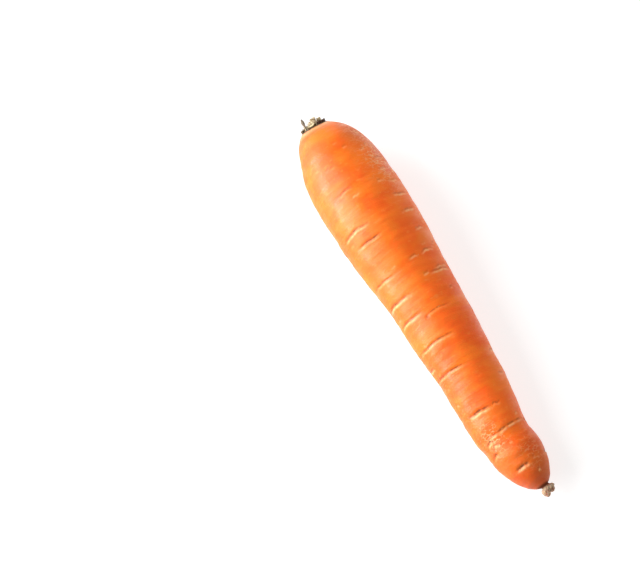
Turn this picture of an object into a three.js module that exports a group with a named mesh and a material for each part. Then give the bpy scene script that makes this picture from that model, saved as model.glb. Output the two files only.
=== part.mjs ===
// A topped carrot, as washed and sold loose: one taproot with its dried tail, and the cut and broken
// leaf stalks left on its crown. Millimetres, +Z up. The carrot lies on its side along X, with the
// crown at -X and the tail at +X. The origin is at the centre of its box, on the surface it rests on.
import * as THREE from "three";

const degrees = THREE.MathUtils.degToRad;

// Driving dimensions of the root.
const ROOT_LENGTH = 174; // from the crown's edge to the neck of the dried tail
const ROOT_RADIUS = 17.6; // at the thickest place, a quarter of the way down
const CROWN_RADIUS = 5.6; // edge of the shallow dish that the leaves grew from
const CROWN_DISH = 0.5; // depth of that dish
const CROWN_TILT = 0.3; // slope of the dish, which faces a little upwards on the lying root
const CROWN_TILT_REACH = 14; // how far down the shoulder the slope fades out
const TAIL_RADIUS = 2.5; // the dried stub of the thin tail
const TAIL_LENGTH = 4.4;
const RESTING_SINK = 0.45; // how much of the round underside is flattened where it rests
const SIDES = 40;
const STEPS_PER_POINT = 3;

// What is left of the leaf stalks, in three rings round the crown's middle.
const CLEARANCE = 0.3; // between the stalks and the crown
const SCALE_RING = 4.95; // dry scales, the sheaths of the oldest leaves
const SCALE_THICKNESS = 0.9;
const SCALE_LEAN = 12;
const STRAND_THICKNESS = 0.8; // the one torn strand among the scales
const STRAND_ARC = degrees(12);
const STRAND_HEIGHT = 5.2;
const STRAND_ANGLE = degrees(-49.5); // round the crown from its upper side
const STRAND_LEAN = 2;
const STALK_RING = 2.75; // stalks cut off above the sheath, each a channel open to the middle
const STALK_RADIUS = 1.3;
const STALK_CHANNEL = 0.65;
const STALK_ARC = degrees(230);
const STALK_LEAN = 8;
const YOUNG_RING = 0.8; // the youngest stalks, round and still closed
const YOUNG_RADIUS = 0.5;
const YOUNG_LEAN = 2;

const rootSkin = new THREE.MeshStandardMaterial({ color: 0xe8742a, roughness: 0.45, metalness: 0 });
const dryScale = new THREE.MeshStandardMaterial({ color: 0x5a4126, roughness: 0.8, metalness: 0 });
const cutStalk = new THREE.MeshStandardMaterial({ color: 0xcdb98c, roughness: 0.75, metalness: 0 });

// The root's outline. Each point is a distance from the crown and the radius there. The body's points
// are shares of the root's length and radius: a round shoulder, a long taper and a blunt end.
const crownOutline = [
  [CROWN_DISH, 0],
  [CROWN_DISH * 0.3, CROWN_RADIUS * 0.7],
  [0, CROWN_RADIUS],
];
const bodyOutline = [
  [0.016, 0.5],
  [0.039, 0.66],
  [0.087, 0.855],
  [0.135, 0.95],
  [0.2, 0.995],
  [0.28, 0.995],
  [0.35, 0.96],
  [0.42, 0.893],
  [0.5, 0.845],
  [0.585, 0.815],
  [0.67, 0.747],
  [0.75, 0.69],
  [0.835, 0.628],
  [0.865, 0.588],
  [0.905, 0.592],
  [0.95, 0.482],
  [0.976, 0.345],
  [0.99, 0.23],
].map(([share, width]) => [share * ROOT_LENGTH, width * ROOT_RADIUS]);
const tailOutline = [
  [ROOT_LENGTH, TAIL_RADIUS * 0.85],
  [ROOT_LENGTH + TAIL_LENGTH * 0.4, TAIL_RADIUS],
  [ROOT_LENGTH + TAIL_LENGTH * 0.82, TAIL_RADIUS * 0.65],
  [ROOT_LENGTH + TAIL_LENGTH, 0],
];

// The root's middle line: a share of the root's length, a sideways swing, and the radius that the
// underside hangs below it, again as a share. It dips towards the thinner end, which so rests on the
// same surface, and it swings a little before the tip, as a root does that has met a stone.
const MIDDLE_START = -0.03;
const MIDDLE_END = 1.03;
const middleLine = new THREE.CatmullRomCurve3(
  [
    [MIDDLE_START, 0.2, 0.985],
    [0.12, 0, 0.992],
    [0.27, 0, 0.992],
    [0.42, 0.1, 0.895],
    [0.58, -0.2, 0.815],
    [0.7, -0.7, 0.73],
    [0.83, -2.1, 0.633],
    [0.92, -0.65, 0.577],
    [MIDDLE_END, 0.8, 0.554],
  ].map(
    ([share, swing, hang]) =>
      new THREE.Vector3(share * ROOT_LENGTH, swing, hang * ROOT_RADIUS - RESTING_SINK),
  ),
);

// The middle line's point at a distance from the crown, and the directions across the root there.
function crossSection(along) {
  const share = along / ROOT_LENGTH;
  const t = THREE.MathUtils.clamp((share - MIDDLE_START) / (MIDDLE_END - MIDDLE_START), 0, 1);
  const forward = middleLine.getTangentAt(t);
  const side = new THREE.Vector3(0, 0, 1).cross(forward).normalize();
  const up = new THREE.Vector3().crossVectors(forward, side);
  return { centre: middleLine.getPointAt(t), forward, side, up };
}

// Ovals and soft corners that keep the root from being a perfect round. They fade at both ends. The
// shoulder is fuller on its +Y side.
function roundness(along, angle) {
  const share = THREE.MathUtils.clamp(along / ROOT_LENGTH, 0, 1);
  const oval = 0.012 * Math.cos(2 * angle + 5 * share);
  const corners = 0.009 * Math.cos(3 * angle - 4 * share + 1);
  const shoulder = 0.045 * Math.exp(-(((share - 0.055) / 0.05) ** 2)) * Math.cos(angle - 0.3);
  return 1 + Math.sin(Math.PI * share) * (oval + corners) + shoulder;
}

// How far a point this high above the middle line is pushed along by the slope of the crown.
function crownSlope(along, high) {
  const fade = Math.max(0, 1 - along / CROWN_TILT_REACH);
  return CROWN_TILT * high * fade * fade;
}

// The outline turned about a straight axis, then laid along the middle line and flattened below.
function taproot() {
  const outline = [...crownOutline, ...bodyOutline, ...tailOutline];
  const curve = new THREE.SplineCurve(
    outline.map(([along, radius]) => new THREE.Vector2(radius, along)),
  );
  const profile = curve.getPoints((outline.length - 1) * STEPS_PER_POINT);
  profile.at(0).x = 0;
  profile.at(-1).x = 0;
  const geometry = new THREE.LatheGeometry(profile, SIDES);
  const position = geometry.getAttribute("position");
  for (let i = 0; i < position.count; i++) {
    const along = position.getY(i);
    const across = position.getX(i);
    const high = -position.getZ(i); // the lathe turns about Y, so its -Z is the right-handed way up
    const swell = roundness(along, Math.atan2(high, across));
    const { centre, forward, side, up } = crossSection(along);
    centre.addScaledVector(side, across * swell);
    centre.addScaledVector(up, high * swell);
    centre.addScaledVector(forward, crownSlope(along, high));
    position.setXYZ(i, centre.x, centre.y, Math.max(centre.z, 0));
  }
  return geometry;
}

// A strip of a round wall, extruded upwards. Its own origin is at the middle of the arc.
function curvedStrip(wallRadius, thickness, arc, height) {
  const shape = new THREE.Shape();
  shape.absarc(-wallRadius, 0, wallRadius + thickness / 2, -arc / 2, arc / 2, false);
  shape.absarc(-wallRadius, 0, wallRadius - thickness / 2, arc / 2, -arc / 2, true);
  return new THREE.ExtrudeGeometry(shape, { depth: height, bevelEnabled: false, curveSegments: 8 });
}

// A stalk with a channel down its inner side, which faces -X.
function channelledStalk(height) {
  const wall = (STALK_RADIUS + STALK_CHANNEL) / 2;
  const geometry = curvedStrip(wall, STALK_RADIUS - STALK_CHANNEL, STALK_ARC, height);
  return geometry.translate(wall, 0, 0);
}

// The crown's own frame: +Z points out of the crown, +X up the slope of its dish.
const crown = new THREE.Group();
const { centre: crownMiddle, forward, side: acrossCrown, up } = crossSection(0);
const upSlope = up.clone().addScaledVector(forward, CROWN_TILT).normalize();
const outOfCrown = new THREE.Vector3().crossVectors(upSlope, acrossCrown);
crown.position.copy(crownMiddle);
crown.setRotationFromMatrix(new THREE.Matrix4().makeBasis(upSlope, acrossCrown, outOfCrown));

// Stands a piece on the crown at an angle round it, leaning outwards. Its outer foot, half a width
// further out than its ring and lowered by the lean, just clears the slope of the dish.
function plant(name, geometry, material, { ring, halfWidth, angle, lean }) {
  const mesh = new THREE.Mesh(geometry, material);
  const dishThere = CROWN_DISH * (1 - (ring + halfWidth) / CROWN_RADIUS);
  const foot = CLEARANCE - dishThere + halfWidth * Math.sin(degrees(lean));
  mesh.name = name;
  mesh.position.set(ring * Math.cos(angle), ring * Math.sin(angle), foot);
  mesh.rotation.set(0, degrees(lean), angle, "ZYX");
  crown.add(mesh);
}

// Dry scales, round the crown from its upper side: where each stands and how wide it is, both in
// degrees, and its height.
const scales = [
  [-17, 41, 1.3],
  [41.5, 67, 1.0],
  [100, 42, 1.5],
  [149, 45, 1.2],
  [204, 50, 1.6],
  [260, 46, 1.3],
];
scales.forEach(([angle, arc, height], i) => {
  const strip = curvedStrip(SCALE_RING, SCALE_THICKNESS, degrees(arc), height);
  plant(`dry_leaf_scale_${i + 1}`, strip, dryScale, {
    ring: SCALE_RING,
    halfWidth: SCALE_THICKNESS / 2,
    angle: degrees(angle),
    lean: SCALE_LEAN,
  });
});

// A thin dry strand that stayed on when its leaf was torn off.
const strand = curvedStrip(SCALE_RING, STRAND_THICKNESS, STRAND_ARC, STRAND_HEIGHT);
plant("torn_leaf_stalk", strand, dryScale, {
  ring: SCALE_RING,
  halfWidth: STRAND_THICKNESS / 2,
  angle: STRAND_ANGLE,
  lean: STRAND_LEAN,
});

// Cut leaf stalks: the height of each, round the crown.
const stalkHeights = [3.9, 3.0, 2.6, 2.1, 1.8];
stalkHeights.forEach((height, i) => {
  plant(`leaf_stalk_${i + 1}`, channelledStalk(height), cutStalk, {
    ring: STALK_RING,
    halfWidth: STALK_RADIUS,
    angle: degrees(6) + (2 * Math.PI * i) / stalkHeights.length,
    lean: STALK_LEAN,
  });
});

// The youngest stalks, in the middle of the crown.
const youngHeights = [2.9, 2.3, 3.2];
youngHeights.forEach((height, i) => {
  const stem = new THREE.CylinderGeometry(YOUNG_RADIUS * 0.85, YOUNG_RADIUS, height, 12);
  stem.rotateX(Math.PI / 2).translate(0, 0, height / 2);
  plant(`young_leaf_stalk_${i + 1}`, stem, cutStalk, {
    ring: YOUNG_RING,
    halfWidth: YOUNG_RADIUS,
    angle: degrees(50) + (2 * Math.PI * i) / youngHeights.length,
    lean: YOUNG_LEAN,
  });
});

const root = new THREE.Mesh(taproot(), rootSkin);
root.name = "taproot";

// The whole carrot, moved so that the middle of its box is over the origin.
const laid = new THREE.Group();
laid.add(root, crown);
const middle = new THREE.Box3().setFromObject(laid, true).getCenter(new THREE.Vector3());
laid.position.set(-middle.x, -middle.y, 0);

const carrot = new THREE.Group();
carrot.add(laid);

export default carrot;
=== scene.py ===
# A topped carrot lying on its side: one root with its dried tail, and what is left of the leaf stalks
# on its crown. Metres, +Z up, the crown at -X, the tail at +X and the flattened underside on Z = 0.
import math

import bmesh
import bpy
import numpy as np
from mathutils import Matrix, Vector, noise


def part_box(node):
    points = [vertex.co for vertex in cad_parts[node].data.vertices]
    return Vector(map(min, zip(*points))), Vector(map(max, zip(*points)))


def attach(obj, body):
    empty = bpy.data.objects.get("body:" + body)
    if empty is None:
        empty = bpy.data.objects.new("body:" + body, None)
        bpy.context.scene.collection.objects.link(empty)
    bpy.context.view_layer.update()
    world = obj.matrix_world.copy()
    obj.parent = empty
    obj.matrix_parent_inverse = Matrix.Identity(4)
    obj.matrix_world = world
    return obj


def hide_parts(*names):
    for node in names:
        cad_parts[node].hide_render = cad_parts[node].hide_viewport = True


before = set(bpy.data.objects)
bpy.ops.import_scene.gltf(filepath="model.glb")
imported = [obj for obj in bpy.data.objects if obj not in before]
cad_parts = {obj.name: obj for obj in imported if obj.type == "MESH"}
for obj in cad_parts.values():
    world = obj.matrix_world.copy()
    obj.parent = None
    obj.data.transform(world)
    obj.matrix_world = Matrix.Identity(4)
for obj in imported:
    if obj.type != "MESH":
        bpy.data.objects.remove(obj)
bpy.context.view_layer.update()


# ---- Taproot -------------------------------------------------------------------------------------
# The root and the dried stub of its tail, which grew as one piece: firm flesh under a thin skin.
# It tapers along a middle line that swings a little before the tip. Side roots left it in four rows,
# and each left a crease across the skin: its groove is painted dark, a brown stain with painted shade,
# and its raised lip on the side towards the tail is painted paler, its own tint with a painted highlight.
root_low, root_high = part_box("taproot")
root_span = root_high - root_low
root_centre = (root_low + root_high) / 2
root_length = 0.9662 * root_span.x
root_radius = 0.4985 * root_span.y
tail_length = 0.0246 * root_span.x
tail_radius = 0.142 * root_radius
crown_radius = 0.318 * root_radius
crown_dish = 0.0284 * root_radius
crown_tilt_reach = 0.0782 * root_span.x
flattened_by = 0.0256 * root_radius
CROWN_TILT = 0.3  # the slope of the dish, which faces a little upwards


def through(points, at):
    """The smooth curve through the points, at steps counted in points."""
    last = len(points) - 1
    start = np.clip(np.floor(at).astype(int), 0, last - 1)
    step = (at - start)[:, None]
    before, here, after, beyond = (points[np.clip(start + k, 0, last)] for k in (-1, 0, 1, 2))
    leaving, arriving = (after - before) / 2, (beyond - here) / 2
    cubic = 2 * here - 2 * after + leaving + arriving
    square = -3 * here + 3 * after - 2 * leaving - arriving
    return cubic * step**3 + square * step**2 + leaving * step + here


# Each point of the outline is a distance from the crown's edge and the radius there.
body_outline = np.array([
    (0.016, 0.5), (0.039, 0.66), (0.087, 0.855), (0.135, 0.95), (0.2, 0.995), (0.28, 0.995),
    (0.35, 0.96), (0.42, 0.893), (0.5, 0.845), (0.585, 0.815), (0.67, 0.747), (0.75, 0.69),
    (0.835, 0.628), (0.865, 0.588), (0.905, 0.592), (0.95, 0.482), (0.976, 0.345), (0.99, 0.23),
])
outline = np.concatenate([
    [(crown_dish, 0), (crown_dish * 0.3, crown_radius * 0.7), (0, crown_radius)],
    body_outline * (root_length, root_radius),
    [
        (root_length, tail_radius * 0.85),
        (root_length + tail_length * 0.4, tail_radius),
        (root_length + tail_length * 0.82, tail_radius * 0.65),
        (root_length + tail_length, 0),
    ],
])
# The middle line: a share of the length, a sideways swing, and how far the underside hangs below it,
# as a share of the radius.
middle_line = np.array([
    (-0.03, 0.0002, 0.985), (0.12, 0, 0.992), (0.27, 0, 0.992), (0.42, 0.0001, 0.895),
    (0.58, -0.0002, 0.815), (0.7, -0.0007, 0.73), (0.83, -0.0021, 0.633), (0.92, -0.00065, 0.577),
    (1.03, 0.0008, 0.554),
]) * (root_length, 1, root_radius) - (0, 0, flattened_by)

RINGS = 640
SIDES = 150
SHORT_STEPS = 4000
# The rings are evenly spaced along the outline, as measured over many short steps.
steps = np.linspace(0, len(outline) - 1, SHORT_STEPS)
travelled = np.concatenate([[0], np.cumsum(np.hypot(*np.diff(through(outline, steps), axis=0).T))])
evenly = np.interp(np.linspace(0, travelled[-1], RINGS), travelled, steps)
along, radius = through(outline, evenly).T[:, :, None]
radius[[0, -1]] = 0
crown_edge = int(np.argmin(along))

line_points = through(middle_line, np.linspace(0, len(middle_line) - 1, 800))


def middle_at(distance):
    """The middle line's points at these distances from the crown."""
    return np.stack([np.interp(distance, line_points[:, 0], line_points[:, k]) for k in range(3)], -1)


def unit(vectors):
    """The vectors, each made one long."""
    return vectors / np.linalg.norm(vectors, axis=-1, keepdims=True)


ahead = 0.0005
inside = np.clip(along, 0, root_length + tail_length - 2 * ahead)
forward = unit(middle_at(inside + ahead) - middle_at(inside))
sideways = unit(np.cross((0, 0, 1), forward))
upwards = np.cross(forward, sideways)

# Ovals and soft corners keep the root from being a perfect round, and its +Y shoulder is fuller.
turn = np.linspace(0, 2 * math.pi, SIDES, endpoint=False)  # from the +Y side, over the top
share = np.clip(along / root_length, 0, 1)
out_of_round = 0.012 * np.cos(2 * turn + 5 * share) + 0.009 * np.cos(3 * turn - 4 * share + 1)
fuller_shoulder = 0.045 * np.exp(-(((share - 0.055) / 0.05) ** 2)) * np.cos(turn - 0.3)
reach = radius * (1 + np.sin(math.pi * share) * out_of_round + fuller_shoulder)
outwards = sideways * np.cos(turn)[:, None] + upwards * np.sin(turn)[:, None]
crown_slope = CROWN_TILT * np.clip(1 - along / crown_tilt_reach, 0, None) ** 2 * reach * np.sin(turn)
skin = middle_at(along) + outwards * reach[:, :, None] + forward * crown_slope[:, :, None]
placed_by = np.array(root_centre) - (skin.min((0, 1)) + skin.max((0, 1))) / 2
placed_by[2] = 0
skin += placed_by

relief = np.zeros((RINGS, SIDES))
crease_stain_and_shade = np.zeros((RINGS, SIDES))
lip_tint_and_highlight = np.zeros((RINGS, SIDES))
rootlets = np.zeros((RINGS, SIDES))


def noise_over(points, size):
    """Noise at every point of a grid of points, with features about this large."""
    return np.array([
        noise.noise(Vector(point)) for point in (points / size).reshape(-1, 3)
    ]).reshape(points.shape[:-1])


def turn_from(angle):
    """How far round each side of the root is from an angle in degrees."""
    return (turn - math.radians(angle) + math.pi) % (2 * math.pi) - math.pi


def side_root_scar(distance, angle, half_width, depth, paleness):
    """A crease and its lip: millimetres from the crown and deep, degrees round from +Y and wide."""
    across = turn_from(angle) / math.radians(half_width)
    window = np.clip(1 - across**2, 0, 1) ** 0.8
    wander = np.array([noise.noise(Vector((1.7 * a, distance, angle))) for a in across])
    broken = np.array([noise.noise(Vector((7 * a, angle, distance))) for a in across])
    strength = window * np.clip(0.8 + 0.9 * broken, 0.15, 1)
    width = 0.00034 + 0.0004 * depth
    past = (along - 0.001 * distance - 0.0005 * wander - 0.0004 * across**2) / width
    groove = np.exp(-(past**2))
    raised = np.exp(-(((past - 2.1) / 1.2) ** 2))
    shoulder = np.exp(-(((past + 2.6) / 2.0) ** 2))
    waist = np.exp(-((past / 7) ** 2)) * np.clip(1 - (across / 1.5) ** 2, 0, 1)
    relief[:] += 0.001 * depth * (strength * (-groove + 0.45 * raised + 0.18 * shoulder) - 0.6 * waist)
    # The crease mask paints the groove dark: a brown stain together with painted shade in the groove.
    crease_stain_and_shade[:] = np.maximum(crease_stain_and_shade, strength * np.exp(-((past + 0.1) ** 2)) * min(1, depth / 0.22))
    # The lip mask paints the raised lip paler: its own tint together with a painted highlight where it
    # faces the lights.
    lip_tint_and_highlight[:] = np.maximum(lip_tint_and_highlight, strength * paleness * np.exp(-(((past - 2.1) / 1.0) ** 2)))
    rootlets[:] = np.maximum(rootlets, window * groove * min(1, depth / 0.2))


# The two rows that show from above.
side_root_scars = [
    (23.6, 115, 8, 0.1, 0.1), (27.8, 40, 12, 0.08, 0.5), (33.5, 48, 10, 0.06, 0.7),
    (35.5, 115, 14, 0.18, 0.25), (39.3, 42, 12, 0.07, 0.8), (45.5, 44, 15, 0.1, 1.0),
    (50.4, 134, 25, 0.3, 0.75), (52.7, 47, 16, 0.09, 1.0), (56.6, 122, 20, 0.3, 0.3),
    (60.9, 46, 10, 0.08, 0.9), (70.5, 54, 14, 0.1, 0.9), (70.9, 82, 8, 0.1, 0.8),
    (73.3, 145, 25, 0.26, 0.5), (78.4, 45, 18, 0.07, 0.8), (80, 49, 24, 0.12, 1.0),
    (83.6, 146, 34, 0.4, 1.0), (92, 146, 31, 0.32, 0.75), (94.2, 92, 25, 0.13, 0.2),
    (104.9, 130, 42, 0.22, 0.65), (112.6, 172, 16, 0.2, 0.7), (116.8, 25, 15, 0.14, 0.7),
    (117.8, 140, 50, 0.32, 0.5), (126.5, 38, 9, 0.08, 0.4), (137.2, 119, 29, 0.5, 0.85),
    (137.1, 82, 10, 0.18, 0.35), (147.2, 91, 60, 0.17, 1.0), (148.7, 142, 14, 0.22, 0.95),
    (148, 17, 12, 0.7, 0.35), (153.6, 152, 12, 0.4, 0.4), (150.6, 133, 8, 0.12, 0.9),
    (163, 18, 20, 0.55, 0.5), (163.8, 116, 24, 0.4, 0.85), (167.8, 79, 6, 0.06, 1.0),
]
for scar in side_root_scars:
    side_root_scar(*scar)

# The two rows underneath, and small pores all over.
chance = np.random.default_rng(11)
for row in (222, 318):
    distance = 16.0
    while distance < 167:
        half_width = chance.uniform(9, 34)
        side_root_scar(
            distance, row + chance.uniform(-9, 9), half_width,
            0.08 + 0.009 * half_width * chance.uniform(0.5, 1.2), chance.uniform(0.3, 0.95),
        )
        distance += chance.uniform(4, 14)
for _ in range(46):
    side_root_scar(
        chance.uniform(10, 167), chance.uniform(0, 360), chance.uniform(3, 7),
        chance.uniform(0.03, 0.09), chance.uniform(0.2, 0.7),
    )

# A pit beside the middle scars, and the soft lumps and fine wrinkles of the skin.
from_pit = np.hypot(along - 0.0953, reach * turn_from(112))
relief -= 0.00022 * np.exp(-((from_pit / 0.0009) ** 2))
# The pit is painted dark with the creases: a stain together with painted shade in its hollow.
crease_stain_and_shade = np.maximum(crease_stain_and_shade, 0.7 * np.exp(-((from_pit / 0.0008) ** 2)))
lumps = 0.0003 * noise_over(skin, 0.024) + 0.0002 * noise_over(skin, np.array((0.006, 0.009, 0.009)))
lumps += 0.00012 * noise_over(skin, np.array((0.002, 0.007, 0.007)))
relief += lumps * (1 + 0.8 * np.clip((share - 0.8) / 0.15, 0, 1))

# The crown's dish is felted with the feet of old leaves, and leaf strings grow in its heart. The
# skin is pale at its margin.
FELT_DEPTH = 0.00018
HEART = 0.72  # as a share of the crown's radius
in_dish = np.arange(RINGS)[:, None] < crown_edge
dish = np.clip(in_dish + np.exp(-((along / 0.0005) ** 2)), 0, 1)
heart = in_dish * (reach < HEART * crown_radius)
margin = (1 - in_dish) * np.exp(-((along / 0.002) ** 2))
felt = noise_over(skin, 0.0006)
relief += FELT_DEPTH * felt * in_dish

# The dried tail is shrunk behind a dark neck. It has two lobes with a split between them, leans over
# and sits to one side.
NECK_DEPTH = 0.00035
SPLIT_DEPTH = 0.0014
SPLIT_WIDTH = 0.0006
TAIL_LEAN = 0.45
TAIL_SHIFT = 0.0009
past_neck = (along - root_length) / tail_length
tail = 0.5 + 0.5 * np.tanh((past_neck + 0.02) / 0.08)
neck = np.exp(-(((past_neck + 0.02) / 0.15) ** 4))
down_tail = tail * np.clip(past_neck, 0, 1)
lobes = 0.22 * np.cos(2 * turn) + 0.06 * np.cos(3 * turn + 1.3)
relief += tail_radius * tail * (1 - neck) * (lobes + 0.2 * felt)
relief -= NECK_DEPTH * neck * (1 + 0.5 * felt)
relief[[0, -1]] = 0
skin += outwards * relief[:, :, None]
to_the_side = reach * np.cos(turn)
split = np.exp(-((to_the_side / SPLIT_WIDTH) ** 2))
skin -= forward * (down_tail * (TAIL_LEAN * to_the_side + SPLIT_DEPTH * split))[:, :, None]
skin += sideways * (TAIL_SHIFT * tail)[:, :, None]
skin[:, :, 2] = np.maximum(skin[:, :, 2], 0)


def patch(distance, angle, reach_along, reach_round):
    """A soft-edged patch of skin: millimetres from the crown, degrees round from +Y, and its reach."""
    away_along = (along - 0.001 * distance) / (0.001 * reach_along)
    away_round = turn_from(angle) / math.radians(reach_round)
    return np.exp(-(away_along**2) - away_round**2)


# The skin is painted a deeper red towards the tail and on two patches of the shoulder: partly its own
# colour, partly painted shade where the tail and the shoulder's +Y side turn away from the lights.
deep_red_and_shade = 0.95 * np.clip((share - 0.84) / 0.14, 0, 1)
for *where, amount in ((11, 48, 9, 30, 0.75), (22, 22, 16, 22, 0.5)):
    deep_red_and_shade = np.maximum(deep_red_and_shade, amount * patch(*where))

# Patches where the skin was scuffed into a net of fine pale lines.
scuffed = np.zeros((RINGS, SIDES))
for *where, amount in (
    (30, 38, 13, 24, 1.0), (13, 35, 8, 20, 0.8), (148, 125, 6, 24, 0.8), (161, 70, 7, 40, 0.3),
    (58, 20, 30, 14, 0.5), (117, 20, 26, 16, 0.35), (87, 285, 40, 30, 0.6), (44, 250, 25, 26, 0.7),
    (141, 220, 20, 30, 0.7),
):
    scuffed = np.maximum(scuffed, amount * patch(*where))


def closed_loft(name, rings, masks):
    """A closed mesh through rings of points, with masks on its points. Both end rings have shrunk to a
    point or a line, so merging what coincides closes them."""
    count, sides = rings.shape[:2]
    first = np.arange(count - 1)[:, None] * sides + np.arange(sides)[None, :]
    second = np.arange(count - 1)[:, None] * sides + (np.arange(sides)[None, :] + 1) % sides
    faces = np.stack([first, second, second + sides, first + sides], -1).reshape(-1, 4)
    mesh = bpy.data.meshes.new(name)
    mesh.from_pydata(rings.reshape(-1, 3).tolist(), [], faces.tolist())
    for mask, values in masks.items():
        attribute = mesh.attributes.new(mask, "FLOAT", "POINT")
        values = np.broadcast_to(values, rings.shape[:2]).astype(np.float32)
        attribute.data.foreach_set("value", values.ravel())
    shape = bmesh.new()
    shape.from_mesh(mesh)
    bmesh.ops.remove_doubles(shape, verts=shape.verts, dist=1e-7)
    bmesh.ops.recalc_face_normals(shape, faces=shape.faces)
    for face in shape.faces:
        face.smooth = True
    shape.to_mesh(mesh)
    shape.free()
    piece = bpy.data.objects.new(name, mesh)
    bpy.context.scene.collection.objects.link(piece)
    return piece


def add_node(tree, kind, feeds=None, **settings):
    """A node with its settings, and with its inputs linked to sockets or filled with values."""
    made = tree.nodes.new(kind)
    for name, value in settings.items():
        setattr(made, name, value)
    for name, value in (feeds or {}).items():
        if isinstance(value, bpy.types.NodeSocket):
            tree.links.new(value, made.inputs[name])
        else:
            made.inputs[name].default_value = value
    return made


def math_node(tree, operation, first, second):
    """What one sum makes of two values or sockets."""
    return add_node(tree, "ShaderNodeMath", {0: first, 1: second}, operation=operation).outputs[0]


def new_mask_group(name, **inputs):
    """A shader node group that makes a mask. Its place and stretch are vectors, the rest numbers."""
    group = bpy.data.node_groups.new(name, "ShaderNodeTree")
    for socket in ("Place", "Stretch"):
        group.interface.new_socket(socket, in_out="INPUT", socket_type="NodeSocketVector")
    for socket, value in inputs.items():
        made = group.interface.new_socket(socket, in_out="INPUT", socket_type="NodeSocketFloat")
        made.default_value = value
    group.interface.new_socket("Mask", in_out="OUTPUT", socket_type="NodeSocketFloat")
    given = group.nodes.new("NodeGroupInput").outputs
    stretched = add_node(group, "ShaderNodeVectorMath", {
        0: given["Place"], 1: given["Stretch"],
    }, operation="MULTIPLY")
    return group, given, stretched.outputs[0], group.nodes.new("NodeGroupOutput").inputs["Mask"]


# Mottling: a noise stretched along the root's axis or across it, cut to a soft-edged mask.
mottling, given, stretched, mask = new_mask_group("mottling", Detail=3.0, Low=0.4, High=0.6)
cloud = add_node(mottling, "ShaderNodeTexNoise", {
    "Vector": stretched, "Scale": 1.0, "Detail": given["Detail"],
})
cut = add_node(mottling, "ShaderNodeMapRange", {
    "Value": cloud.outputs["Fac"], "From Min": given["Low"], "From Max": given["High"],
}, interpolation_type="SMOOTHSTEP")
mottling.links.new(cut.outputs["Result"], mask)

# Net: fine lines between stretched cells, one where a line runs and zero elsewhere.
net, given, stretched, mask = new_mask_group("net", Width=0.06)
bend = add_node(net, "ShaderNodeTexNoise", {"Vector": stretched, "Scale": 0.7})
bent = add_node(net, "ShaderNodeVectorMath", {0: stretched, 1: bend.outputs["Color"]}, operation="ADD")
cells = add_node(net, "ShaderNodeTexVoronoi", {
    "Vector": bent.outputs[0], "Scale": 1.0,
}, feature="DISTANCE_TO_EDGE")
thin = add_node(net, "ShaderNodeMapRange", {
    "Value": cells.outputs["Distance"], "From Max": given["Width"], "To Min": 1.0, "To Max": 0.0,
}, interpolation_type="SMOOTHSTEP")
net.links.new(thin.outputs["Result"], mask)


def new_material(name, roughness):
    """A material with its tree, its shader and the piece's own coordinates."""
    material = bpy.data.materials.new(name)
    material.use_nodes = True
    tree = material.node_tree
    shader = tree.nodes["Principled BSDF"]
    shader.inputs["Roughness"].default_value = roughness
    return material, tree, shader, tree.nodes.new("ShaderNodeTexCoord").outputs["Object"]


def masked(tree, group, place, **values):
    """The mask that a shader group makes with these values."""
    feeds = {"Place": place, **{name.title(): value for name, value in values.items()}}
    return add_node(tree, "ShaderNodeGroup", feeds, node_tree=group).outputs["Mask"]


def grown(tree, name):
    """A mask that is stored on the piece's own points."""
    return add_node(tree, "ShaderNodeAttribute", None, attribute_name=name).outputs["Fac"]


def painted(tree, colour, *layers):
    """A colour with layers painted over it, each a mask, its strength and a colour."""
    for mask, amount, tone in layers:
        under, over = (c if isinstance(c, bpy.types.NodeSocket) else (*c, 1) for c in (colour, tone))
        mixed = add_node(tree, "ShaderNodeMix", {
            0: math_node(tree, "MULTIPLY", mask, amount), 6: under, 7: over,
        }, data_type="RGBA")
        colour = mixed.outputs[2]
    return colour


root_skin, tree, shader, place = new_material("root_skin", 0.5)
broad = masked(tree, mottling, place, stretch=(22, 40, 40), detail=2.0, low=0.35, high=0.65)
clouds = masked(tree, mottling, place, stretch=(110, 70, 70), detail=4.0, low=0.42, high=0.62)
bands = masked(tree, mottling, place, stretch=(240, 26, 26), detail=3.0, low=0.45, high=0.75)
specks = masked(tree, mottling, place, stretch=(700, 300, 300), detail=4.0, low=0.58, high=0.75)
patchy = masked(tree, mottling, place, stretch=(900, 420, 420), detail=2.0, low=0.44, high=0.56)
lines = masked(tree, net, place, stretch=(900, 480, 480), width=0.13)
lines = math_node(tree, "MULTIPLY", lines, math_node(tree, "MULTIPLY", patchy, grown(tree, "scuffed")))
flecks = masked(tree, mottling, place, stretch=(900, 900, 900), detail=3.0, low=0.4, high=0.65)
dish_tone = painted(tree, (0.05, 0.022, 0.006), (flecks, 1.0, (0.3, 0.2, 0.09)))
blotches = masked(tree, mottling, place, stretch=(700, 500, 500), detail=3.0, low=0.4, high=0.7)
tail_tone = painted(tree, (0.46, 0.32, 0.21), (blotches, 1.0, (0.28, 0.13, 0.08)))
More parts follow.
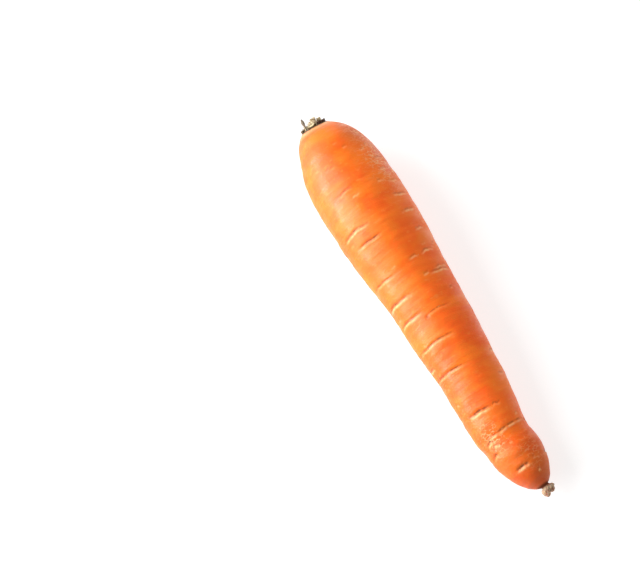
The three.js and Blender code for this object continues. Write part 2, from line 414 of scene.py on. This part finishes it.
colour = painted(
    tree, (0.93, 0.138, 0.0035),
    (broad, 0.75, (0.87, 0.102, 0.002)),
    (clouds, 0.6, (0.95, 0.21, 0.008)),
    (bands, 0.5, (0.96, 0.19, 0.012)),
    (specks, 0.45, (0.97, 0.28, 0.05)),
    # A deeper red towards the tail and on the +Y shoulder, partly painted shade.
    (grown(tree, "deep_red_and_shade"), 0.75, (0.5, 0.078, 0.003)),
    (lines, 1.0, (1.0, 0.58, 0.28)),
    # Painted highlight and a paler tint on the creases' raised lips.
    (grown(tree, "lip_tint_and_highlight"), 0.95, (1.0, 0.52, 0.22)),
    # Painted shade and a brown stain in the creases and the pit.
    (grown(tree, "crease_stain_and_shade"), 0.95, (0.16, 0.06, 0.008)),
    (grown(tree, "margin"), 0.6, (1.0, 0.5, 0.24)),
    (grown(tree, "dish"), 1.0, dish_tone),
    (grown(tree, "tail"), 1.0, tail_tone),
    (grown(tree, "neck"), 0.97, (0.13, 0.024, 0.002)),
)
tree.links.new(colour, shader.inputs["Base Color"])

worn = math_node(tree, "MULTIPLY", lines, 0.5)
for mask in ("dish", "tail", "neck"):
    worn = math_node(tree, "ADD", worn, grown(tree, mask))
dulled = add_node(tree, "ShaderNodeMapRange", {"Value": worn, "To Min": 0.35, "To Max": 0.85})
uneven = masked(tree, mottling, place, stretch=(230, 120, 120), detail=4.0, low=0.35, high=0.65)
uneven = math_node(tree, "MULTIPLY", uneven, 0.2)
tree.links.new(math_node(tree, "ADD", dulled.outputs[0], uneven), shader.inputs["Roughness"])
wrinkles = masked(tree, mottling, place, stretch=(1500, 130, 130), detail=3.0, low=0.2, high=0.8)
grain = masked(tree, mottling, place, stretch=(1900, 1300, 1300), detail=2.0, low=0.2, high=0.8)
height = math_node(tree, "MULTIPLY", wrinkles, 0.6)
for part, amount in ((grain, 0.4), (lines, 0.8)):
    height = math_node(tree, "ADD", height, math_node(tree, "MULTIPLY", part, amount))
bump = add_node(tree, "ShaderNodeBump", {"Strength": 0.6, "Distance": 0.00014, "Height": height})
tree.links.new(bump.outputs[0], shader.inputs["Normal"])
shader.inputs["Subsurface Weight"].default_value = 0.25
shader.inputs["Subsurface Radius"].default_value = (1.0, 0.32, 0.1)
shader.inputs["Subsurface Scale"].default_value = 0.003
shader.inputs["Specular IOR Level"].default_value = 0.42

root = closed_loft("carrot_root", skin, {
    "crease_stain_and_shade": crease_stain_and_shade, "lip_tint_and_highlight": lip_tint_and_highlight, "rootlets": rootlets, "dish": dish, "heart": heart, "margin": margin,
    "tail": tail, "neck": neck, "scuffed": scuffed, "deep_red_and_shade": deep_red_and_shade,
})
root.data.materials.append(root_skin)
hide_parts("taproot")
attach(root, "root")


# ---- Leaf scales, stalks and the torn strand -----------------------------------------------------
# What is left on the crown where the leaves were cut off. Each starts below the crown's edge, where
# it grew out of the dish. They are dry: the scales papery and brown, the stalks pale and stringy.
crown_side = Vector(sideways[crown_edge, 0])
crown_up = Vector(upwards[crown_edge, 0] + CROWN_TILT * forward[crown_edge, 0]).normalized()
crown_frame = Matrix((crown_up, crown_side, crown_up.cross(crown_side))).transposed().to_4x4()
crown_frame.translation = middle_at(0) + placed_by

SCALE_RING = 0.884 * crown_radius
STALK_RING = 0.491 * crown_radius
YOUNG_RING = 0.143 * crown_radius
FOOT = -0.0007  # the leaf bases start this far below the crown's edge


def stands_at(node):
    """The angle of a CAD piece round the crown, and its height above the crown's edge."""
    corners = [crown_frame.inverted() @ corner.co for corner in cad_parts[node].data.vertices]
    middle = sum(corners, Vector()) / len(corners)
    return math.atan2(middle.y, middle.x), max(corner.z for corner in corners)


def on_crown(rings, angle):
    """Rings of points, outwards along X and up along Z, put on the crown at an angle round it."""
    turned = crown_frame @ Matrix.Rotation(angle, 4, "Z")
    return rings @ np.array(turned.to_3x3()).T + np.array(turned.translation)


def leaf_base(name, node, centre, wall_radius, arc, thickness, lean, slant, ragged, seed):
    """The foot of a cut leaf: a curved wall, thin at both wings, ridged, and cut off aslant."""
    angle, height = stands_at(node)
    half_arc, outwards_by = math.radians(arc) / 2, math.tan(math.radians(lean))
    columns, layers = 48, 18
    across = np.linspace(-1, 1, columns)
    loop = np.concatenate([across, across[::-1]])
    face = np.repeat([1.0, -1.0], columns)
    # The ragged cut, as a share of the height, and the ridges that run up both faces.
    edge = np.array([
        1 - ragged * (0.5 + 0.9 * noise.noise(Vector((3.1 * u, seed, 0))))
        - 1.1 * ragged * abs(noise.noise(Vector((15 * u, seed, 5))))
        for u in loop
    ])
    ridge = np.array([
        noise.noise(Vector((9 * u, seed, 9 + f))) + 0.6 * noise.noise(Vector((23 * u, seed, f)))
        for u, f in zip(loop, face)
    ])
    # Rings from the foot to the cut, then inwards over the cut. Each is a share of the height, and how
    # far the wall's two faces stand apart.
    levels = [(0, 0)] + [(level, 1) for level in np.linspace(0, 1, layers)]
    levels += [(1, opened) for opened in (0.85, 0.65, 0.4, 0)]
    rings = []
    for level, opened in levels:
        wall = thickness * (1 - 0.25 * level) * (1 - 0.75 * np.abs(loop) ** 3)
        proud = opened * face * wall / 2
        top = height * edge - slant * (proud + wall / 2) - 0.00012 * (1 - opened)
        upper = FOOT + level * (top - FOOT)
        waver = np.array([noise.noise(Vector((2 * u, 3 * level, seed))) for u in loop])
        wall_at = wall_radius + proud + opened * 0.00008 * ridge
        bent = np.maximum(upper, 0) * outwards_by + 0.00015 * waver
        rings.append(np.stack([
            centre + wall_at * np.cos(loop * half_arc) + bent, wall_at * np.sin(loop * half_arc), upper,
        ], 1))
    level, opened = np.array(levels, float).T[:, :, None]
    # The foot mask is painted shade: darker towards the wall's foot, down among the crowded leaf bases.
    return closed_loft(name, on_crown(np.array(rings), angle), {
        "rim": np.clip((level - 0.8) / 0.2, 0, 1),
        "pith": np.clip((0.9 - opened) / 0.3, 0, 1) * (level > 0.5) * (1 - np.abs(loop) ** 6),
        "wing": np.abs(loop) ** 5,
        "foot_shade": (1 - level) ** 1.5,
    })


def stem(name, node, ring, path, flatness, ridges, seed):
    """A thin closed stem: the path's points are a share of the height, an outward bend and a radius."""
    angle, height = stands_at(node)
    points = np.array(path) * (height, 1, 1)
    sides, layers = 26, 34
    around = np.linspace(0, 2 * math.pi, sides, endpoint=False)
    rings = []
    for upper, bend, thick in through(points, np.linspace(0, len(points) - 1, layers)):
        ridge = np.array([
            noise.noise(Vector((ridges * math.cos(t), ridges * math.sin(t), seed + 200 * upper)))
            for t in around
        ])
        wide = max(thick, 0) * (1 + 0.35 * ridge)
        twisted = around + 260 * upper  # radians per metre
        rings.append(np.stack([
            ring + bend + wide * np.cos(twisted) * flatness, wide * np.sin(twisted), np.full(sides, upper),
        ], 1))
    rings = np.array(rings)
    for end in (0, -1):
        rings[end] = rings[end].mean(0)
    share_up = rings[:, :, 2] / height
    # The foot mask is painted shade: darker towards the stem's foot, down among the leaf bases.
    return closed_loft(name, on_crown(rings, angle), {
        "rim": np.clip((share_up - 0.85) / 0.15, 0, 1), "foot_shade": np.clip(1 - share_up, 0, 1) ** 3,
    })


def dry_tissue(name, dark, light, rim, pith, roughness):
    """Dry leaf tissue: strings along the leaf, dark where it is cut, painted shade at its feet, pale
    inside.
    """
    material, tree, shader, place = new_material(name, roughness)
    strings = masked(tree, mottling, place, stretch=(260, 2600, 2600), detail=3.0, low=0.32, high=0.5)
    stains = masked(tree, mottling, place, stretch=(500, 500, 500), detail=2.0, low=0.45, high=0.65)
    colour = painted(
        tree, dark,
        (strings, 0.9, light),
        (stains, 0.45, dark),
        # Painted shade: darker towards each piece's foot, in the dark colour of the cut rim.
        (grown(tree, "foot_shade"), 0.95, rim),
        (grown(tree, "wing"), 0.85, rim),
        (grown(tree, "rim"), 0.85, rim),
        (grown(tree, "pith"), 0.95, pith),
    )
    tree.links.new(colour, shader.inputs["Base Color"])
    bump = add_node(tree, "ShaderNodeBump", {"Strength": 0.6, "Distance": 0.0001, "Height": strings})
    tree.links.new(bump.outputs[0], shader.inputs["Normal"])
    dulled = add_node(tree, "ShaderNodeMapRange", {
        "Value": stains, "To Min": roughness - 0.1, "To Max": roughness + 0.1,
    })
    tree.links.new(dulled.outputs[0], shader.inputs["Roughness"])
    return material


PITH = (0.78, 0.64, 0.38)
maroon_scale = dry_tissue(
    "maroon_scale", dark=(0.035, 0.008, 0.002), light=(0.075, 0.02, 0.005), rim=(0.03, 0.006, 0.002),
    pith=(0.2, 0.1, 0.04), roughness=0.7,
)
olive_scale = dry_tissue(
    "olive_scale", dark=(0.045, 0.024, 0.003), light=(0.14, 0.08, 0.016), rim=(0.04, 0.02, 0.003),
    pith=PITH, roughness=0.7,
)
cut_stalk = dry_tissue(
    "cut_stalk", dark=(0.26, 0.16, 0.06), light=(0.82, 0.68, 0.43), rim=(0.1, 0.05, 0.01),
    pith=PITH, roughness=0.75,
)
grey_strand = dry_tissue(
    "grey_strand", dark=(0.07, 0.055, 0.035), light=(0.2, 0.16, 0.11), rim=(0.05, 0.035, 0.02),
    pith=PITH, roughness=0.75,
)

# The scales stand round the crown's edge. Two of them are still maroon.
crown_pieces = []
for number, (arc, slant) in enumerate(
    ((43, 0.9), (65, 0.2), (40, 0.3), (47, 0.5), (52, 0.4), (48, 0.6)), 1,
):
    node = f"dry_leaf_scale_{number}"
    piece = leaf_base(
        f"scale_{number}", node, centre=0, wall_radius=SCALE_RING, arc=arc, thickness=0.0011,
        lean=15, slant=slant, ragged=0.22, seed=3.7 * number,
    )
    piece.data.materials.append(maroon_scale if number in (2, 3) else olive_scale)
    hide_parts(node)
    crown_pieces.append(piece)

# Inside them stand the cut stalks, each a channel open to the middle.
for number, lean in enumerate((6, 5, 5, 7, 10), 1):
    node = f"leaf_stalk_{number}"
    piece = leaf_base(
        f"stalk_{number}", node, centre=STALK_RING, wall_radius=0.00098, arc=240, thickness=0.00085,
        lean=lean, slant=0.4, ragged=0.25, seed=20 + 5.3 * number,
    )
    piece.data.materials.append(cut_stalk)
    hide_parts(node)
    crown_pieces.append(piece)

# The youngest stalks are in the middle, round and cut off with a small hollow.
for number in range(1, 4):
    node = f"young_leaf_stalk_{number}"
    piece = stem(f"young_stalk_{number}", node, YOUNG_RING, [
        (-0.25, 0, 0.0003), (0.0, 0, 0.0005), (0.4, 0, 0.00048), (0.8, 0.0001, 0.00042),
        (0.97, 0.0001, 0.0004), (0.94, 0.0001, 0.0001),
    ], flatness=1.0, ridges=2.2, seed=7.0 * number)
    piece.data.materials.append(cut_stalk)
    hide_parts(node)
    crown_pieces.append(piece)

# The torn strand stands among the scales, thin where it starts and widest above its middle.
strand = stem("torn_strand", "torn_leaf_stalk", SCALE_RING, [
    (-0.12, 0, 0.0003), (0.0, 0, 0.00034), (0.25, 0, 0.00034), (0.45, 0.0001, 0.00052),
    (0.64, 0.0001, 0.00082), (0.82, 0, 0.00062), (1.0, -0.0001, 0.00012),
], flatness=0.6, ridges=2.6, seed=41.0)
strand.data.materials.append(grey_strand)
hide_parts("torn_leaf_stalk")
crown_pieces.append(strand)
for piece in crown_pieces:
    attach(piece, "root")


# ---- Fibres, bristles and rootlets ---------------------------------------------------------------
# Short dry hairs, scattered over the pieces that they grew from. Bristles cover the crown's dish,
# torn leaf strings fill its heart and stand out of the cut stalks, and a few hair roots are left in
# the creases.
hairs = bpy.data.node_groups.new("hairs", "GeometryNodeTree")
hairs.interface.new_socket("Geometry", in_out="INPUT", socket_type="NodeSocketGeometry")
for socket, kind in (
    ("Where", "String"), ("Density", "Float"), ("Length", "Float"), ("Thickness", "Float"),
    ("Lean", "Float"), ("Seed", "Int"), ("Material", "Material"),
):
    hairs.interface.new_socket(socket, in_out="INPUT", socket_type=f"NodeSocket{kind}")
hairs.interface.new_socket("Geometry", in_out="OUTPUT", socket_type="NodeSocketGeometry")
given = hairs.nodes.new("NodeGroupInput").outputs
where = add_node(hairs, "GeometryNodeInputNamedAttribute", {"Name": given["Where"]}, data_type="FLOAT")
roots = add_node(hairs, "GeometryNodeDistributePointsOnFaces", {
    "Mesh": given["Geometry"], "Seed": given["Seed"],
    "Density": math_node(hairs, "MULTIPLY", where.outputs["Attribute"], given["Density"]),
}).outputs
# A thin cone, bent over towards its tip.
straight = add_node(hairs, "GeometryNodeMeshCone", {
    "Vertices": 5, "Side Segments": 4, "Radius Bottom": given["Thickness"], "Radius Top": 0.00002,
    "Depth": given["Length"],
})
spot = hairs.nodes.new("GeometryNodeInputPosition").outputs[0]
risen = add_node(hairs, "ShaderNodeSeparateXYZ", {0: spot}).outputs["Z"]
risen = math_node(hairs, "DIVIDE", risen, given["Length"])
sway = math_node(hairs, "MULTIPLY", math_node(hairs, "POWER", risen, 2.0), given["Length"])
sway = add_node(hairs, "ShaderNodeCombineXYZ", {"X": math_node(hairs, "MULTIPLY", sway, 0.3)})
curved = add_node(hairs, "GeometryNodeSetPosition", {
    "Geometry": straight.outputs["Mesh"], "Offset": sway.outputs[0],
})
# Each hair leans and turns its own way, and has its own size.
tilt = add_node(hairs, "FunctionNodeRandomValue", {
    0: (-1, -1, -3.14), 1: (1, 1, 3.14), "Seed": given["Seed"],
}, data_type="FLOAT_VECTOR")
tilt = add_node(hairs, "ShaderNodeVectorMath", {
    0: tilt.outputs[0], "Scale": given["Lean"],
}, operation="SCALE")
tilt = add_node(hairs, "FunctionNodeEulerToRotation", {0: tilt.outputs[0]})
aimed = add_node(hairs, "FunctionNodeRotateRotation", {
    "Rotation": roots["Rotation"], "Rotate By": tilt.outputs[0],
}, rotation_space="LOCAL")
size = add_node(hairs, "FunctionNodeRandomValue", {2: 0.45, 3: 1.2, "Seed": 5}, data_type="FLOAT")
planted = add_node(hairs, "GeometryNodeInstanceOnPoints", {
    "Points": roots["Points"], "Instance": curved.outputs["Geometry"],
    "Rotation": aimed.outputs[0], "Scale": size.outputs[1],
})
real = add_node(hairs, "GeometryNodeRealizeInstances", {0: planted.outputs[0]})
coloured = add_node(hairs, "GeometryNodeSetMaterial", {
    0: real.outputs[0], "Material": given["Material"],
})
hairs.links.new(coloured.outputs[0], hairs.nodes.new("NodeGroupOutput").inputs[0])


def grow_hairs(name, hosts, slot, **values):
    """Hairs over some pieces, as one plain mesh of their own."""
    scalp = bmesh.new()
    for host in hosts:
        scalp.from_mesh(host.data)
    mesh = bpy.data.meshes.new(name)
    scalp.to_mesh(mesh)
    scalp.free()
    grower = bpy.data.objects.new(name, mesh)
    bpy.context.scene.collection.objects.link(grower)
    modifier = grower.modifiers.new("hairs", "NODES")
    modifier.node_group = hairs
    for socket in hairs.interface.items_tree:
        if socket.in_out == "INPUT" and socket.name.lower() in values:
            modifier[socket.identifier] = values[socket.name.lower()]
    evaluated = grower.evaluated_get(bpy.context.evaluated_depsgraph_get())
    grower.data = bpy.data.meshes.new_from_object(evaluated)
    grower.modifiers.clear()
    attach(grower, "root")


root_hair = dry_tissue(
    "root_hair", dark=(0.42, 0.24, 0.1), light=(0.75, 0.5, 0.25), rim=(0.3, 0.15, 0.06),
    pith=PITH, roughness=0.7,
)
grow_hairs(
    "side_rootlets", [root], "root_skin", where="rootlets", density=160000.0, length=0.0007,
    thickness=0.00008, lean=0.9, seed=3, material=root_hair,
)
grow_hairs(
    "crown_bristles", [root], "dry_scale", where="dish", density=700000.0, length=0.0012,
    thickness=0.00006, lean=0.5, seed=8, material=olive_scale,
)
grow_hairs(
    "stalk_strings", [piece for piece in crown_pieces if piece.name.startswith("stalk")], "cut_stalk",
    where="pith", density=1100000.0, length=0.0009, thickness=0.00007, lean=0.5, seed=2,
    material=cut_stalk,
)
grow_hairs(
    "pale_leaf_strings", [root], "cut_stalk", where="heart", density=2600000.0, length=0.003,
    thickness=0.00022, lean=0.3, seed=6, material=cut_stalk,
)
grow_hairs(
    "dark_leaf_strings", [root], "dry_scale", where="heart", density=1200000.0, length=0.0022,
    thickness=0.00013, lean=0.45, seed=14, material=olive_scale,
)


# ---- Floor, lights and camera --------------------------------------------------------------------
# A pale level table under the carrot, in an even pale room. Two soft lights shine from its -Y side,
# one low and one high, and a weaker one from its +Y side, all three from nearer the crown's end. The
# camera looks steeply down from nearer the tail's end.
FLOOR_REACH = 2  # metres each way
FLOOR_DROP = 0.00005  # keeps the floor just clear of the flattened underside
corners = [(x * FLOOR_REACH, y * FLOOR_REACH, -FLOOR_DROP) for x, y in ((-1, -1), (1, -1), (1, 1), (-1, 1))]
floor_mesh = bpy.data.meshes.new("floor")
floor_mesh.from_pydata(corners, [], [(0, 1, 2, 3)])
floor = bpy.data.objects.new("floor", floor_mesh)
bpy.context.scene.collection.objects.link(floor)
floor_paint, tree, shader, place = new_material("floor_paint", 0.6)
clouds = masked(tree, mottling, place, stretch=(9, 9, 9), detail=2.0, low=0.3, high=0.7)
colour = painted(tree, (0.5, 0.5, 0.5), (clouds, 0.5, (0.54, 0.54, 0.535)))
tree.links.new(colour, shader.inputs["Base Color"])
shader.inputs["Specular IOR Level"].default_value = 0.1
shader.inputs["Emission Color"].default_value = (1, 1, 1, 1)
shader.inputs["Emission Strength"].default_value = 0.65
floor.data.materials.append(floor_paint)

azimuth, elevation = math.radians(59), math.radians(70)
towards_camera = Vector((
    math.sin(azimuth) * math.cos(elevation), -math.cos(azimuth) * math.cos(elevation), math.sin(elevation),
))
picture_right = Vector((math.cos(azimuth), math.sin(azimuth), 0))
picture_up = towards_camera.cross(picture_right)
carrot_middle = Vector((
    crown_frame.translation.x + 0.5 * root_length, root_centre.y, 0.42 * root_span.z,
))
CAMERA_DISTANCE = 1.1
# The carrot lies to the right of the view's middle and a little below it.
aim = carrot_middle - 0.0424 * picture_right + 0.0079 * picture_up
camera_data = bpy.data.cameras.new("camera")
camera_data.lens = 155.4
camera_data.sensor_width = 36
camera = bpy.data.objects.new("camera", camera_data)
bpy.context.scene.collection.objects.link(camera)
camera.matrix_world = Matrix((picture_right, picture_up, towards_camera)).transposed().to_4x4()
camera.location = aim + CAMERA_DISTANCE * towards_camera
bpy.context.scene.camera = camera


LIGHT_LENGTH = 1.1
TOWARDS_CROWN = Vector((-0.75, 0, 0))


def soft_light(name, turned, distance, width, power, in_gloss):
    """A long light beside the carrot, facing it: degrees round the carrot from the camera's side."""
    light = bpy.data.lights.new(name, "AREA")
    light.shape = "RECTANGLE"
    light.size = LIGHT_LENGTH
    light.size_y = width
    light.energy = power
    holder = bpy.data.objects.new(name, light)
    bpy.context.scene.collection.objects.link(holder)
    direction = Matrix.Rotation(math.radians(turned), 3, "X") @ towards_camera + TOWARDS_CROWN
    back = direction.normalized()
    lengthwise = (Vector((1, 0, 0)) - back * back.x).normalized()
    facing = Matrix((lengthwise, back.cross(lengthwise), back)).transposed().to_4x4()
    holder.matrix_world = Matrix.Translation(carrot_middle + back * distance) @ facing
    holder.visible_glossy = in_gloss


soft_light("key_light", 68, distance=1.1, width=0.36, power=17.5, in_gloss=True)
soft_light("fill_light", 36, distance=1.2, width=0.6, power=12.5, in_gloss=True)
soft_light("rim_light", -62, distance=1.2, width=0.4, power=4.0, in_gloss=False)

world = bpy.data.worlds.new("room")
world.use_nodes = True
world.node_tree.nodes["Background"].inputs["Color"].default_value = (1.0, 0.99, 0.97, 1)
world.node_tree.nodes["Background"].inputs["Strength"].default_value = 0.36
bpy.context.scene.world = world
bpy.context.scene.view_settings.view_transform = "Standard"
